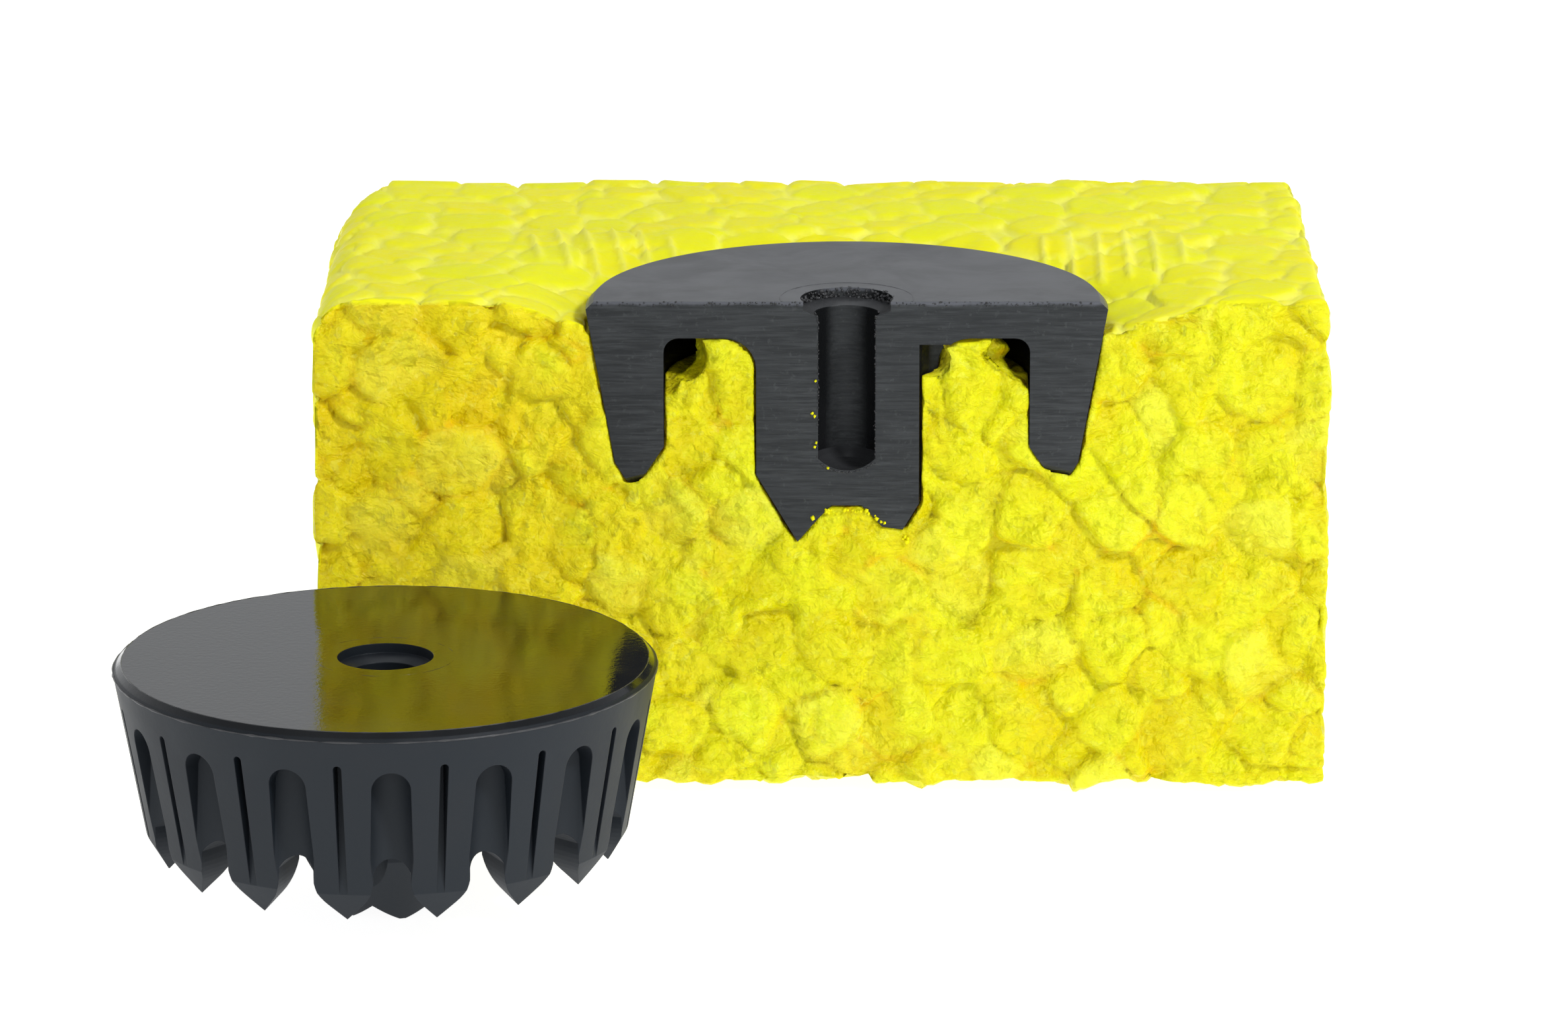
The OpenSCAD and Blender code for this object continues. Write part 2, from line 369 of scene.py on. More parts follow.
def surface_nets(f, xs, ys, zs):
    """A quad mesh of the surface f = 0, one point for each grid cell that it crosses."""
    inside = f < 0
    n = [s - 1 for s in f.shape]
    corners = [(i, j, k) for i in (0, 1) for j in (0, 1) for k in (0, 1)]
    count = sum(inside[i:n[0] + i, j:n[1] + j, k:n[2] + k].astype(np.int8) for i, j, k in corners)
    active = (count > 0) & (count < 8)
    ids = np.full(active.shape, -1, dtype=np.int64)
    cells = np.argwhere(active)
    ids[active] = np.arange(len(cells))
    value = {c: f[cells[:, 0] + c[0], cells[:, 1] + c[1], cells[:, 2] + c[2]] for c in corners}
    total = np.zeros((len(cells), 3))
    crossings = np.zeros(len(cells))
    for axis in range(3):
        for c in corners:
            if c[axis]:
                continue
            other = tuple(1 if a == axis else c[a] for a in range(3))
            a, b = value[c], value[other]
            crossed = (a < 0) != (b < 0)
            t = np.where(crossed, a / np.where(crossed, a - b, 1), 0)
            for k in range(3):
                total[:, k] += np.where(crossed, t if k == axis else c[k], 0)
            crossings += crossed
    local = total / crossings[:, None]
    points = np.empty_like(local)
    for k, lines in enumerate((xs, ys, zs)):
        low = lines[cells[:, k]]
        points[:, k] = low + local[:, k] * (lines[cells[:, k] + 1] - low)
    quads = []
    for axis in range(3):
        u, v = (axis + 1) % 3, (axis + 2) % 3
        size = [slice(None)] * 3
        size[u] = slice(1, -1)
        size[v] = slice(1, -1)
        here = list(size)
        there = list(size)
        here[axis] = slice(0, -1)
        there[axis] = slice(1, None)
        a, b = inside[tuple(here)], inside[tuple(there)]
        place = np.argwhere(a != b)
        first_inside = a[tuple(place.T)]
        place[:, u] += 1
        place[:, v] += 1
        loop = []
        for du, dv in ((-1, -1), (0, -1), (0, 0), (-1, 0)):
            q = place.copy()
            q[:, u] += du
            q[:, v] += dv
            loop.append(ids[tuple(q.T)])
        loop = np.stack(loop, axis=1)
        loop[~first_inside] = loop[~first_inside][:, ::-1]
        quads.append(loop)
    return points, np.concatenate(quads)


def point_normals(points, quads):
    """Unit normals at the points of a quad mesh."""
    a, b, c, d = (points[quads[:, i]] for i in range(4))
    face = np.cross(c - a, d - b)
    total = np.zeros_like(points)
    for k in range(3):
        for i in range(4):
            total[:, k] += np.bincount(quads[:, i], face[:, k], len(points))
    return total / np.maximum(np.linalg.norm(total, axis=1), 1e-9)[:, None]


def near_section(tree, points):
    """Distance from each point to the seated insert, up to CALM_REACH."""
    out = np.full(len(points), CALM_REACH)
    near = np.abs(points[:, 0] - SEAT_X) < INSERT_R + CALM_REACH
    near &= points[:, 2] > BLOCK_H - INSERT_H - CALM_REACH
    near &= points[:, 1] < SEAT_Y + INSERT_R + CALM_REACH
    for i in np.nonzero(near)[0]:
        found = tree.find_nearest(Vector(points[i]), CALM_REACH)
        if found[0] is not None:
            out[i] = found[3]
    return out


def bead_relief(p):
    """The torn faces' relief, the skin's, and how near each point is to a seam or a pit, with
    its bead's tone and whether that bead was cut through."""
    warp = np.stack([noise(p, 3.2, seed) for seed in (21, 22, 23)], axis=1) * 0.75
    p = p + warp.astype(np.float32)
    d, c, r = nearest_beads(p)
    apart = [2 * np.linalg.norm(c[:, i] - c[:, 0], axis=1) for i in (1, 2)]
    gap = [(d[:, i] ** 2 - d[:, 0] ** 2) / apart[i - 1] for i in (1, 2)]
    edge = np.exp(-(gap[0] / 0.22) ** 2)
    pit = np.exp(-(gap[1] / 0.55) ** 2)
    w = np.exp(-(d - d[:, :1]) * 13)
    w /= w.sum(axis=1, keepdims=True)
    away = p[:, None, :] - c
    tilt = (r[:, :, :3] - 0.5) * 0.38
    level = (r[:, :, 3] - 0.5) * 0.45 + (tilt * away).sum(axis=2)
    torn = (w * level).sum(axis=1)
    some = smooth(noise(p, 4, 13) * 1.5 + 0.4)
    torn += 0.05 * (1 - (d[:, 0] / 2.5) ** 2) - 0.17 * edge * (0.4 + some) - 0.3 * pit * some
    rough = 0.1 * noise(p, 0.7, 3) + 0.14 * noise(p, 1.4, 4) + 0.15 * noise(p, 3.1, 6)
    fold = (1 - np.abs(noise(p, (1.5, 1.5, 1.2), 5))) ** 4 * 0.2
    fold += (1 - np.abs(noise(p, (0.9, 0.9, 0.7), 9))) ** 4 * 0.12
    torn += rough - fold
    skin = (w * (r[:, :, 3] - 0.5) * 0.22).sum(axis=1)
    skin += (w * ((r[:, :, :3] - 0.5) * 0.11 * away).sum(axis=2)).sum(axis=1)
    skin += -0.2 * np.exp(-(gap[0] / 0.2) ** 2) - 0.25 * np.exp(-(gap[1] / 0.35) ** 2)
    tone = (w * r[:, :, 1]).sum(axis=1)
    sharp = np.exp(-(d - d[:, :1]) * 14)
    sharp /= sharp.sum(axis=1, keepdims=True)
    cut = (sharp * (r[:, :, 2] > 0.78)).sum(axis=1)
    return torn, skin, edge, pit, tone, cut


def vents(p):
    """0..1 across each rib of the two vent marks, of which the left one leans."""
    out = np.zeros(len(p))
    for side in (-1, 1):
        u = p[:, 0] - (VENT_X + side * VENT_SPACING / 2)
        v = p[:, 1] - VENT_Y
        if side < 0:
            u = u + v * VENT_LEAN
        for i in range(VENT_RIBS):
            at = (i - (VENT_RIBS - 1) / 2) * VENT_PITCH
            half = math.sqrt(VENT_R ** 2 - at ** 2)
            across = np.exp(-((u - at) / VENT_RIB_WIDE) ** 2)
            out = np.maximum(out, across * smooth((half - np.abs(v)) / 0.5))
    return out


def foam_grid():
    """The grid's lines, closest together at the sawn face and over the vent marks."""
    (left_start, left_end), (right_start, right_end) = VENT_SPANS
    xs = spaced(
        LEFT - GRID_MARGIN, (left_start, STEP_SIDE), (left_end, STEP_VENT), (right_start, STEP_MIDDLE),
        (right_end, STEP_VENT), (RIGHT + GRID_MARGIN, STEP_SIDE))
    ys = spaced(
        FRONT - GRID_MARGIN_FRONT, (FRONT + FINE_DEPTH, STEP_FRONT), (FRONT + MIDDLE_DEPTH, STEP_DEEP),
        (BACK + GRID_MARGIN, STEP_BACK))
    zs = spaced(-GRID_MARGIN_FLOOR, (BLOCK_H + GRID_MARGIN_TOP, STEP_UP))
    return xs, ys, zs


def facing(component):
    """0..1 as a part of the normal nears 1."""
    return smooth((component - 0.45) / 0.3)


def foam_moves(points, normal, near):
    """How far each point moves along its normal, and the two attributes that the material reads."""
    p = points.astype(np.float32)
    torn, skin, edge, pit, tone, cut = bead_relief(p)
    # the foam within about 1 mm of the seated insert, behind the sawn face: its relief is calmed, and
    # the material paints shade there
    pocket = smooth((1.1 - near) / 0.8) * (points[:, 1] > FRONT + 0.35)
    is_top = facing(normal[:, 2]) * (points[:, 2] > BLOCK_H - 3.5)
    is_left = facing(-normal[:, 0]) * (points[:, 0] < LEFT + 5)
    is_back = facing(normal[:, 1]) * (points[:, 1] > BACK - 11)
    is_right = facing(normal[:, 0]) * (points[:, 0] > RIGHT - 2)
    moulded = np.clip(is_top + is_left + is_back, 0, 1)
    calm = 1 - 0.6 * is_right
    calm *= np.where(points[:, 1] < FRONT + 0.6, smooth((near - 0.05) / 1.3) * 0.8 + 0.2, 1)

    rim = np.hypot(points[:, 0] - SEAT_X, points[:, 1] - SEAT_Y) - INSERT_R
    angle = np.arctan2(points[:, 1] - SEAT_Y, points[:, 0] - SEAT_X)
    spoke = np.stack([angle * 14, rim * 0.25, points[:, 2] * 0], axis=1)
    wrinkle = noise(spoke, 0.8, 8) * 0.16 * smooth((5.5 - rim) / 5) * is_top
    rib = vents(points) * is_top
    skin_move = skin + wrinkle + VENT_RIB_HIGH * rib
    move = (1 - moulded) * torn * calm + moulded * skin_move
    move = move * (1 - pocket)
    ragged = smooth((0.8 - np.abs(points[:, 1] - FRONT)) / 0.8) * is_top
    move += ragged * (0.2 * noise(p, 0.8, 12) + 0.25 * noise(p, 1.7, 14))
    under = smooth((-normal[:, 2] - 0.2) / 0.5) * (points[:, 2] < 3)
    move += under * 0.4 * noise(p, 3.4, 15)
    bead = np.stack([edge, pit, tone, moulded], axis=1)
    spot = np.stack([rib, cut, pocket, np.clip(0.5 + move, 0, 1)], axis=1)
    return move, bead, spot


def quad_mesh(name, points, quads, colours):
    """A smooth mesh from points in mm, with a colour attribute for each name in colours."""
    mesh = bpy.data.meshes.new(name)
    mesh.vertices.add(len(points))
    mesh.vertices.foreach_set("co", (points * M).ravel())
    mesh.loops.add(quads.size)
    mesh.loops.foreach_set("vertex_index", quads.ravel())
    mesh.polygons.add(len(quads))
    mesh.polygons.foreach_set("loop_start", np.arange(0, quads.size, 4))
    mesh.polygons.foreach_set("use_smooth", np.ones(len(quads), dtype=bool))
    mesh.update()
    mesh.validate()
    for layer_name, values in colours.items():
        layer = mesh.attributes.new(layer_name, "FLOAT_COLOR", "POINT")
        layer.data.foreach_set("color", values.astype(np.float32).ravel())
    return mesh


def make_foam():
    """The foam block's visible surface."""
    xs, ys, zs = foam_grid()
    tree = insert_tree()
    insert = insert_distance(tree, xs, ys, zs, INSERT_REACH)
    points, quads = surface_nets(foam_field(xs, ys, zs, insert), xs, ys, zs)
    normal = point_normals(points, quads)
    move, bead, spot = foam_moves(points, normal, near_section(tree, points))
    points = points + normal * move[:, None]
    points[:, 2] = np.maximum(points[:, 2], 0)

    mesh = quad_mesh("foam_block_beads", points, quads, {"bead": bead, "spot": spot})
    foam = bpy.data.objects.new("foam_block_beads", mesh)
    scene.collection.objects.link(foam)
    unseen = (normal[:, 2] < -0.7) | (normal[:, 1] > 0.7)
    group = foam.vertex_groups.new(name="plain")
    group.add([int(i) for i in np.nonzero(unseen)[0]], 1.0, "REPLACE")
    thin = foam.modifiers.new("thin", "DECIMATE")
    thin.ratio = THIN
    thin.vertex_group = "plain"
    return foam


# ---------------------------------------------------------------- materials
def node_material(name):
    """A material with nodes, its tree and its shader."""
    material = bpy.data.materials.new(name)
    material.use_nodes = True
    tree = material.node_tree
    return material, tree, tree.nodes["Principled BSDF"]


class Nodes:
    """Short ways to add shader nodes to one tree."""

    def __init__(self, tree):
        self.tree = tree

    def add(self, kind, inputs=(), **settings):
        """A node of this kind, with its settings and its inputs filled in."""
        node = self.tree.nodes.new(kind)
        for key, value in settings.items():
            setattr(node, key, value)
        for key, value in dict(inputs).items():
            self.put(node.inputs[key], value)
        return node

    def put(self, socket, value):
        """Link a socket to an output, or set it to a constant."""
        if isinstance(value, bpy.types.NodeSocket):
            self.tree.links.new(value, socket)
        else:
            socket.default_value = value

    def math(self, operation, a, b=0.0, c=0.0, clamp=False):
        """One arithmetic step on up to three values."""
        node = self.add("ShaderNodeMath", operation=operation, use_clamp=clamp)
        for i, value in enumerate((a, b, c)):
            self.put(node.inputs[i], value)
        return node.outputs[0]

    def fit(self, value, low, high, to_low=0.0, to_high=1.0):
        """A value moved from the range low..high to the range to_low..to_high."""
        node = self.add("ShaderNodeMapRange", {0: value, 1: low, 2: high, 3: to_low, 4: to_high})
        return node.outputs[0]

    def mix(self, factor, a, b, blend="MIX"):
        """Two colours, blended by a factor."""
        node = self.add("ShaderNodeMix", data_type="RGBA", blend_type=blend)
        self.put(node.inputs[0], factor)
        self.put(node.inputs[6], a)
        self.put(node.inputs[7], b)
        return node.outputs[2]

    def noise(self, vector, scale, detail=3, roughness=0.5, distortion=0.0):
        """The value of a noise texture."""
        return self.add("ShaderNodeTexNoise", {
            "Vector": vector, "Scale": scale, "Detail": detail,
            "Roughness": roughness, "Distortion": distortion,
        }).outputs[0]

    def scaled(self, vector, scale):
        """A place stretched along each axis."""
        return self.add("ShaderNodeMapping", {"Vector": vector, "Scale": scale}).outputs[0]

    def facets(self, vector, size):
        """Flat faces of about this size, each tilted its own way: their height and a random number."""
        cells = self.add("ShaderNodeTexVoronoi", {"Vector": vector, "Scale": 1 / size})
        colour = cells.outputs["Color"]
        away = self.add(
            "ShaderNodeVectorMath", {0: vector, 1: cells.outputs["Position"]}, operation="SUBTRACT")
        tilt = self.add("ShaderNodeVectorMath", {0: colour, 1: (0.5, 0.5, 0.5)}, operation="SUBTRACT")
        height = self.add(
            "ShaderNodeVectorMath", {0: away.outputs[0], 1: tilt.outputs[0]}, operation="DOT_PRODUCT")
        return height.outputs["Value"], self.add("ShaderNodeSeparateColor", {0: colour}).outputs[0]

    def bump(self, height, strength, distance, normal=None):
        """A normal bent by a height."""
        inputs = {"Height": height, "Strength": strength, "Distance": distance}
        if normal is not None:
            inputs["Normal"] = normal
        return self.add("ShaderNodeBump", inputs).outputs[0]


def torn_colour(n, place, blotch, patch, left_shade, edge, pit, tone, cut, height):
    """Colour of the torn beads: flakes and cut membranes over each bead's own tone, with painted shade
    in the seams, pits and low places and on the left side.
    """
    lemon = n.mix(n.fit(blotch, 0.32, 0.68), YELLOW["lemon"], YELLOW["amber lemon"])
    lemon = n.mix(n.fit(tone, 0.45, 0.0, 0.0, 0.75), lemon, YELLOW["dark bead"])
    lemon = n.mix(n.fit(tone, 0.5, 1.0, 0.0, 0.75), lemon, YELLOW["light bead"])
    flake = n.fit(n.noise(n.scaled(place, (1, 1, 1.8)), 380, 5, 0.7, 0.8), 0.54, 0.66)
    flake = n.math("MULTIPLY", flake, n.fit(patch, 0.42, 0.6))
    pale = n.mix(n.math("MULTIPLY", flake, 0.75), lemon, YELLOW["flake"])
    # painted shade in the seams, in the pits and in the low places of the relief
    crevice_shade = n.math("MAXIMUM", n.math("MULTIPLY", edge, 0.75), n.math("MULTIPLY", pit, 0.8))
    low = n.fit(height, 0.55, 0.1)
    crevice_shade = n.math("MAXIMUM", crevice_shade, n.math("MULTIPLY", low, 0.9), clamp=True)
    crevice_shade = n.math("MULTIPLY", crevice_shade, n.fit(patch, 0.38, 0.58, 0.15, 1.0), clamp=True)
    membrane = n.math("MULTIPLY", n.math("MULTIPLY", cut, n.fit(blotch, 0.3, 0.5)), 0.75)
    pale = n.mix(membrane, pale, YELLOW["membrane"])
    # painted shade on the left side: the torn face turns deeper yellow there, and its seams darker
    pale = n.mix(n.math("MULTIPLY", left_shade, 0.45), pale, YELLOW["left side shade"])
    crevice_shade = n.math("MULTIPLY", crevice_shade, n.fit(left_shade, 0, 1, 0.7, 1.0))
    shaded_torn = n.mix(crevice_shade, pale, YELLOW["crevice_shade"])
    # painted shade, darker still, deep in the pits
    deep = n.math("MULTIPLY", n.fit(pit, 0.7, 1.0), n.fit(patch, 0.5, 0.62), clamp=True)
    return n.mix(n.math("MULTIPLY", deep, 0.6), shaded_torn, YELLOW["pit shade"])


def faceted_colour(n, torn, tones, fine, left_shade):
    """The torn colour with each facet's own tone, specks and painted glints, and a painted lit tint
    where the left side's painted shade fades.
    """
    large_tone, middle_tone, small_tone = tones
    torn = n.mix(n.fit(large_tone, 0.55, 1.0, 0.0, 0.3), torn, YELLOW["light facet"])
    torn = n.mix(n.fit(middle_tone, 0.5, 0.0, 0.0, 0.2), torn, YELLOW["dark facet"])
    torn = n.mix(n.fit(small_tone, 0.9, 1.0, 0.0, 0.3), torn, YELLOW["glint"])
    torn = n.mix(n.math("MULTIPLY", n.fit(fine, 0.62, 0.74), 0.12), torn, YELLOW["dark speck"])
    torn = n.mix(n.math("MULTIPLY", n.fit(fine, 0.38, 0.27), 0.25), torn, YELLOW["light speck"])
    # painted light: the lit tint, fading out into the left side's painted shade
    torn = n.mix(n.fit(left_shade, 1, 0), torn, YELLOW["lit tint"], "MULTIPLY")
    return n.mix(1.0, torn, YELLOW["torn tint"], "MULTIPLY")


def skin_colour(n, edge, pit, tone, rib):
    """Colour of the moulded skin, paler along the beads' edges, with a painted highlight on the vent
    ribs.
    """
    colour = n.mix(n.fit(tone, 0.1, 0.9), YELLOW["skin"], YELLOW["green skin"])
    colour = n.mix(n.math("MULTIPLY", edge, 0.7), colour, YELLOW["skin edge"])
    colour = n.mix(n.math("MULTIPLY", n.fit(pit, 0.55, 0.95), 0.8), colour, YELLOW["skin pit"])
    # painted highlight on the vent ribs
    return n.mix(n.math("MULTIPLY", rib, 0.5), colour, YELLOW["rib highlight"])


def foam_bump(n, place, skin, facets):
    """Fine relief: folds and facets on the torn beads, a soft grain on the skin."""
    wrinkle = n.noise(place, 1000, 5, 0.7, 1.2)
    fold = n.noise(n.scaled(place, (1, 1, 1.5)), 420, 3, 0.6, 1.5)
    torn_height = n.math("ADD", n.math("MULTIPLY", wrinkle, 0.4), n.math("MULTIPLY", fold, 1.0))
    for part, strength in zip(facets, (1000, 1400, 1100)):
        torn_height = n.math("ADD", torn_height, n.math("MULTIPLY", part, strength))
    skin_height = n.math("MULTIPLY", n.noise(place, 330, 4, 0.6), 0.7)
    height = n.add("ShaderNodeMix", data_type="FLOAT")
    n.put(height.inputs[0], skin)
    n.put(height.inputs[2], torn_height)
    n.put(height.inputs[3], skin_height)
    return n.bump(height.outputs[0], 0.85, 0.00045)


def foam_material():
    """Torn beads where the block was cut, and the smoother moulded skin elsewhere."""
    material, tree, shader = node_material("bead_foam")
    n = Nodes(tree)
    place = n.add("ShaderNodeTexCoord").outputs["Object"]
    bead = n.add("ShaderNodeAttribute", attribute_name="bead")
    spot = n.add("ShaderNodeAttribute", attribute_name="spot")
    edge, pit, tone = n.add("ShaderNodeSeparateColor", {0: bead.outputs["Color"]}).outputs
    skin = bead.outputs["Alpha"]
    rib, cut, pocket = n.add("ShaderNodeSeparateColor", {0: spot.outputs["Color"]}).outputs
    height = spot.outputs["Alpha"]

    blotch = n.noise(place, 420, 4, 0.6)
    fine = n.noise(place, 2300, 3, 0.6)
    broad = n.noise(place, 55, 2)
    patch = n.noise(place, 150, 3, 0.55, 0.4)
    left = n.add("ShaderNodeSeparateXYZ", {0: place}).outputs[0]
    left = n.math("ADD", left, n.fit(patch, 0.3, 0.7, -0.008, 0.008))
    # painted shade: 0 right of x = -8 mm, rising to 1 at x = -22 mm on the shaded left
    left_shade = n.fit(left, -0.008, -0.022)
    torn = torn_colour(n, place, blotch, patch, left_shade, edge, pit, tone, cut, height)

    bent = n.add("ShaderNodeMix", data_type="VECTOR")
    n.put(bent.inputs[0], 0.0022)
    n.put(bent.inputs[4], place)
    swirl = n.add("ShaderNodeTexNoise", {"Vector": place, "Scale": 620, "Detail": 3})
    n.put(bent.inputs[5], swirl.outputs[1])
    facets, tones = zip(*(n.facets(bent.outputs[1], size) for size in (0.0021, 0.0009, 0.0004)))
    torn = faceted_colour(n, torn, tones, fine, left_shade)

    colour = n.mix(skin, torn, skin_colour(n, edge, pit, tone, rib))
    colour = n.mix(n.math("MULTIPLY", n.fit(broad, 0.4, 0.7), 0.15), colour, YELLOW["shade"])
    # painted shade on the foam in the pocket round the seated insert
    colour = n.mix(n.math("MULTIPLY", pocket, 0.6), colour, YELLOW["pocket"])
    tree.links.new(colour, shader.inputs["Base Color"])
    tree.links.new(foam_bump(n, place, skin, facets), shader.inputs["Normal"])
    rough = n.fit(skin, 0, 1, 0.36, 0.45)
    tree.links.new(n.math("ADD", rough, n.fit(fine, 0.3, 0.7, -0.12, 0.12)), shader.inputs["Roughness"])
    shader.inputs["Subsurface Weight"].default_value = 0.25
    shader.inputs["Subsurface Radius"].default_value = (1.0, 0.7, 0.05)
    shader.inputs["Subsurface Scale"].default_value = 0.0012
    tree.links.new(n.fit(skin, 0, 1, 0.17, 0.07), shader.inputs["Specular IOR Level"])
    return material


def plastic_material(name, top, top_rough, top_colour, side_colour, side_rough, sawn):
    """Black plastic with its own look on the top face at height top, and saw marks if sawn."""
    material, tree, shader = node_material(name)
    n = Nodes(tree)
    where = n.add("ShaderNodeTexCoord")
    place = where.outputs["Object"]
    facing = n.add("ShaderNodeSeparateXYZ", {0: where.outputs["Normal"]})
    height_z = n.add("ShaderNodeSeparateXYZ", {0: place}).outputs[2]
    up = n.fit(facing.outputs[2], 0.6, 0.72)
    up = n.math("MULTIPLY", up, n.fit(height_z, (top - 0.4) * M, (top - 0.3) * M, 0.3, 1.0))
    smudge = n.noise(place, 160, 4, 0.6, 0.5)
    grain = n.noise(place, 2400, 3, 0.6)
    colour = n.mix(up, side_colour, top_colour)
    colour = n.mix(n.math("MULTIPLY", n.fit(smudge, 0.45, 0.75), 0.3), colour, BLACK["smudge"])
    rough = n.fit(up, 0, 1, side_rough, top_rough)
    rough = n.math("ADD", rough, n.fit(smudge, 0.3, 0.7, -0.04, 0.06))
    height = n.math("MULTIPLY", grain, 0.3)
    if sawn:
        front = n.fit(facing.outputs[1], -0.75, -0.95)
        saw = n.noise(n.scaled(place, (0.09, 1, 1.4)), 3400, 5, 0.65, 0.3)
        scratch = n.math("MULTIPLY", n.fit(saw, 0.38, 0.7), n.fit(smudge, 0.3, 0.65, 0.4, 1.0))
        cut = n.mix(scratch, BLACK["cut"], BLACK["scratch"])
        cut = n.mix(n.math("MULTIPLY", n.fit(grain, 0.6, 0.72), 0.25), cut, BLACK["grain"])
        uneven = n.noise(n.scaled(place, (1, 1, 0.2)), 500, 4, 0.6)
        lip = n.math("ADD", height_z, n.fit(uneven, 0.3, 0.7, -0.0001, 0.0001))
        lip = n.fit(lip, (top - 0.32) * M, (top - 0.12) * M)
        cut = n.mix(n.math("MULTIPLY", lip, 0.7), cut, BLACK["lip"])
        colour = n.mix(front, colour, cut)
        rough = n.math("MULTIPLY", rough, n.math("SUBTRACT", 1.0, front))
        rough = n.math("ADD", rough, n.math("MULTIPLY", front, 0.5))
        height = n.math("ADD", height, n.math("MULTIPLY", n.math("MULTIPLY", saw, front), 1.2))
        worn = n.fit(n.noise(n.scaled(place, (1, 2.5, 1)), 110, 4, 0.6, 1.2), 0.5, 0.72)
        worn = n.math("MULTIPLY", n.math("MULTIPLY", worn, up), 0.45)
        colour = n.mix(worn, colour, BLACK["worn"])
    soft_edge = n.add("ShaderNodeBevel", {"Radius": 0.00009}, samples=4).outputs[0]
    tree.links.new(colour, shader.inputs["Base Color"])
    tree.links.new(rough, shader.inputs["Roughness"])
    tree.links.new(n.fit(up, 0, 1, 0.33, 0.63 if sawn else 0.55), shader.inputs["Specular IOR Level"])
    shader.inputs["Specular Tint"].default_value = (0.9, 0.95, 1.0, 1)
    tree.links.new(n.bump(height, 0.35, 0.00008, soft_edge), shader.inputs["Normal"])
    return material


def floor_material():
    """White paper that glows a little, as an overexposed background does."""
    material, tree, shader = node_material("floor")
    n = Nodes(tree)
    place = n.add("ShaderNodeTexCoord").outputs["Object"]
    paper = n.noise(place, 60, 3)
    tone = n.mix(paper, (0.6, 0.6, 0.6, 1), (0.62, 0.62, 0.62, 1))
    tree.links.new(tone, shader.inputs["Base Color"])
    shader.inputs["Roughness"].default_value = 0.9
    shader.inputs["Emission Color"].default_value = (1, 1, 1, 1)
    shader.inputs["Emission Strength"].default_value = FLOOR_GLOW
    return material


def wear(thing, material):
    """Give a thing this material alone."""
    thing.data.materials.clear()
    thing.data.materials.append(material)


# ---------------------------------------------------------------- small details on the inserts
def small_piece(name, points, faces, material, body, slot_name):
    """One small mesh, given in mm, that rides on a body."""
    mesh = bpy.data.meshes.new(name)
    mesh.from_pydata([tuple(p * M) for p in points], [], faces)
    mesh.polygons.foreach_set("use_smooth", [True] * len(faces))
    mesh.update()
    piece = bpy.data.objects.new(name, mesh)
    scene.collection.objects.link(piece)
    wear(piece, material)
    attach(piece, body)
    return piece


def ring_bead(centre, radius, z, thick, wobble, seed, turn=(0, 360), steps=240, sides=6):
    """Points and faces of a thin, uneven bead of plastic that runs round an axis."""
    closed = turn[1] - turn[0] == 360
    angles = np.radians(np.linspace(turn[0], turn[1], steps, endpoint=not closed))
    along = np.stack([angles * radius, angles * 0, angles * 0], axis=1).astype(np.float32)
    size = thick * (1 + wobble * noise(along, 0.8, seed) + 0.5 * wobble * noise(along, 0.3, seed + 1))
    points = []
    for a, t in zip(angles, size):
        for k in range(sides):
            b = 2 * math.pi * k / sides
            r = radius + t * math.cos(b)
            across = (centre[0] + r * math.cos(a), centre[1] + r * math.sin(a))
            points.append(np.array([*across, z + t * math.sin(b)]))
    faces = []
    for i in range(steps if closed else steps - 1):
        j = (i + 1) % steps
        for k in range(sides):
            m = (k + 1) % sides
            faces.append((i * sides + k, j * sides + k, j * sides + m, i * sides + m))
    return points, faces


def crumbs(places, sizes, seed):
    """Points and faces of small angular lumps, one at each place."""
    rng = np.random.RandomState(seed)
    corners = np.array([(x, y, z) for x in (-1, 1) for y in (-1, 1) for z in (-1, 1)], dtype=float)
    sides = ((0, 1, 3, 2), (4, 6, 7, 5), (0, 4, 5, 1), (2, 3, 7, 6), (0, 2, 6, 4), (1, 5, 7, 3))
    points, faces = [], []
    for place, size in zip(places, sizes):
        start = len(points)
        lump = corners * rng.uniform(0.3, 0.75, corners.shape) * size
        turn = np.linalg.qr(rng.normal(size=(3, 3)))[0]
        if np.linalg.det(turn) < 0:
            turn[:, 0] *= -1
        points += list(lump @ turn + place)
        faces += [tuple(start + i for i in side) for side in sides]
    return points, faces


def saw_burrs():
    """Burrs that the saw left round the bore's mouth and down the bore's edges."""
    rng = np.random.RandomState(5)
    places, sizes = [], []
    for _ in range(230):
        a = math.radians(rng.uniform(-8, 188))
        depth = rng.uniform(0.02, 0.75)
        r = MOUTH_R - 0.08 * rng.rand() + (0.12 if depth < 0.1 else 0)
        y = max(SEAT_Y + r * math.sin(a), FRONT + 0.02)
        places.append(np.array([SEAT_X + r * math.cos(a), y, BLOCK_H - depth]))
        sizes.append(rng.uniform(0.06, 0.17))
    for side in (-1, 1):
        for _ in range(60):
            depth = MOUTH_DEPTH + 11 * rng.rand() ** 1.6
            flare = 0.5 * (1.2 - depth) if depth < 1.2 else 0
            x = SEAT_X + side * (CUT_BORE_HALF + rng.normal() * 0.03 + flare)
            places.append(np.array([x, FRONT - 0.01, BLOCK_H - depth]))
            sizes.append(rng.uniform(0.03, 0.09))
    for _ in range(60):
        a = math.radians(rng.uniform(200, 340))
        x = SEAT_X + DOME_HALF * math.cos(a)
        places.append(np.array([x, FRONT - 0.01, BLOCK_H - BORE_END + DOME_RISE * math.sin(a)]))
        sizes.append(rng.uniform(0.04, 0.1))
    for _ in range(160):
        x = rng.uniform(-LIP_HALF, LIP_HALF)
        if abs(x) > MOUTH_R:
            places.append(np.array([SEAT_X + x, FRONT - 0.01, BLOCK_H - rng.uniform(0, 0.3)]))
            sizes.append(rng.uniform(0.03, 0.1))
    return crumbs(places, sizes, 6)


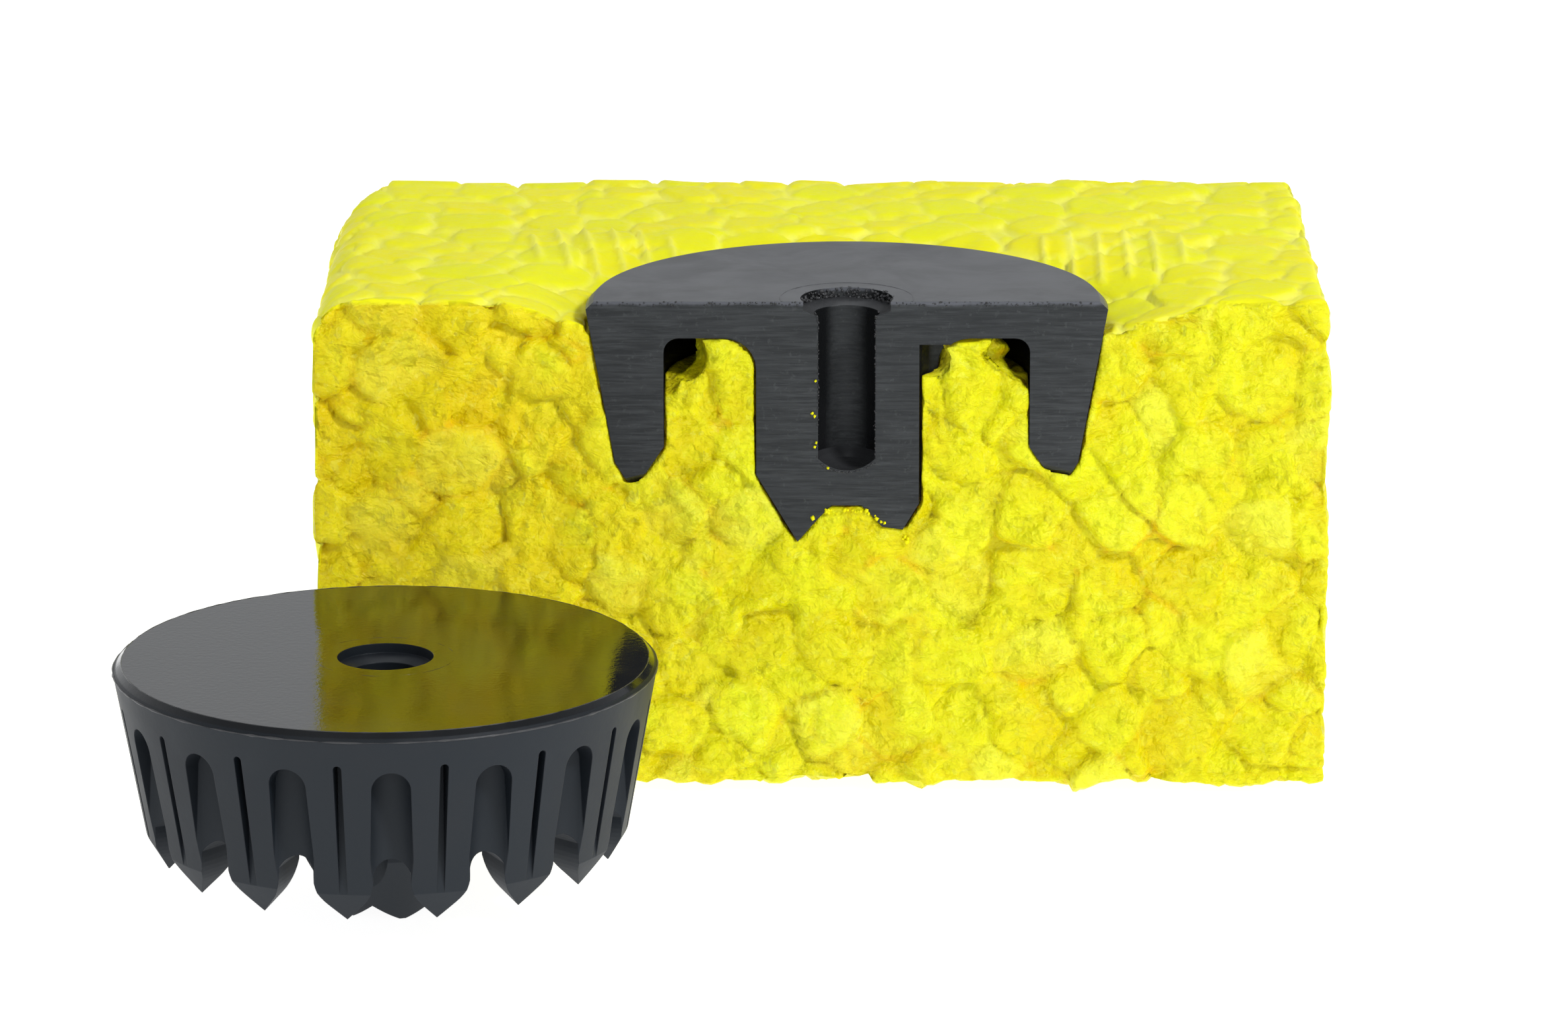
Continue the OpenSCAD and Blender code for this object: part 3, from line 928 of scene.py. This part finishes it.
def foam_crumbs():
    """Crumbs of foam stuck on the sawn face beside the bore, and along the crown's outline."""
    rng = np.random.RandomState(9)
    places, sizes = [], []
    # the crumbs beside the bore: depth, and across from its axis
    for depth, x in ((5.6, -2.15), (7.9, -2.35), (8.1, -2.2), (10.0, -2.1), (10.3, -2.2), (11.8, -1.3)):
        places.append(np.array([SEAT_X + x, FRONT - 0.06, BLOCK_H - depth]))
        sizes.append(rng.uniform(0.12, 0.2))
    for _ in range(26):
        x = rng.uniform(-2.6, 4.6)
        depth = 14.75 + 0.35 * rng.rand() + max(0, abs(x) - 1.6) * 0.8
        places.append(np.array([SEAT_X + x, FRONT - 0.05, BLOCK_H - depth]))
        sizes.append(rng.uniform(0.08, 0.22))
    return crumbs(places, sizes, 10)


# ---------------------------------------------------------------- studio
def make_camera():
    """The camera where the photograph's stood."""
    data = bpy.data.cameras.new("camera")
    camera = bpy.data.objects.new("camera", data)
    scene.collection.objects.link(camera)
    data.lens = VIEW_LENS
    data.sensor_width = SENSOR_WIDTH
    data.clip_start = 0.01
    back = Vector((0, -math.cos(VIEW_ELEVATION), math.sin(VIEW_ELEVATION)))
    camera.location = VIEW_TARGET + back * VIEW_DISTANCE
    camera.rotation_euler = (-back).to_track_quat("-Z", "Y").to_euler()
    scene.camera = camera


def soft_box(name, place, power, size):
    """A square lamp that points at the object."""
    data = bpy.data.lights.new(name, "AREA")
    data.energy = power
    data.size = size
    light = bpy.data.objects.new(name, data)
    scene.collection.objects.link(light)
    light.location = place
    light.rotation_euler = (LAMP_TARGET - light.location).to_track_quat("-Z", "Y").to_euler()


def make_studio():
    """A pale floor, a graded world and two lamps."""
    world = bpy.data.worlds.new("studio")
    scene.world = world
    world.use_nodes = True
    n = Nodes(world.node_tree)
    way = n.add("ShaderNodeTexCoord").outputs["Generated"]
    rise = n.add("ShaderNodeSeparateXYZ", {0: way}).outputs[2]
    sky = world.node_tree.nodes["Background"]
    n.put(sky.inputs["Strength"], n.fit(rise, HORIZON_RISE, ZENITH_RISE, HORIZON, ZENITH))
    sky.inputs["Color"].default_value = SKY_COLOUR
    soft_box("key", *KEY)
    soft_box("over", *OVER)
    bpy.ops.mesh.primitive_plane_add(size=FLOOR_SIZE)
    floor = bpy.context.object
    floor.name = "floor"
    wear(floor, floor_material())


# ---------------------------------------------------------------- the model
foam = make_foam()
wear(foam, foam_material())
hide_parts("foam_block")
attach(foam, "foam_block")

sawn = plastic_material(
    "sawn_plastic", top=BLOCK_H, top_rough=0.5, top_colour=BLACK["sawn top"],
    side_colour=BLACK["sawn side"], side_rough=0.2, sawn=True)
moulded = plastic_material(
    "moulded_plastic", top=INSERT_H, top_rough=0.07, top_colour=BLACK["moulded top"],
    side_colour=BLACK["moulded side"], side_rough=0.55, sawn=False)
flash = plastic_material(
    "flash_plastic", top=BLOCK_H, top_rough=0.3, top_colour=BLACK["flash"],
    side_colour=BLACK["flash"], side_rough=0.3, sawn=False)
wear(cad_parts["cut_insert"], sawn)
wear(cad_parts["whole_insert"], moulded)

loose_top = LOOSE[2]
for name, radius, height, thick, wobble, seed, material in (
    ("flash_line", INSERT_R, loose_top - TOP_CHAMFER, 0.055, 0.6, 31, flash),
    ("rim_line", INSERT_R - TOP_CHAMFER, loose_top - 0.02, 0.035, 0.6, 33, flash),
    ("witness_ring", WITNESS_R, loose_top - 0.035, 0.045, 0.3, 35, moulded),
):
    bead = ring_bead(LOOSE, radius, height, thick, wobble, seed)
    small_piece(name, *bead, material, "whole_insert", "moulded_plastic")
bead = ring_bead((SEAT_X, SEAT_Y), WITNESS_R, BLOCK_H - 0.02, 0.05, 0.3, 37, (-13, 193))
small_piece("cut_witness_ring", *bead, sawn, "cut_insert", "sawn_plastic")
small_piece("saw_burrs", *saw_burrs(), flash, "cut_insert", "sawn_plastic")
small_piece("foam_crumbs", *foam_crumbs(), foam.data.materials[0], "cut_insert", "bead_foam")

make_camera()
make_studio()
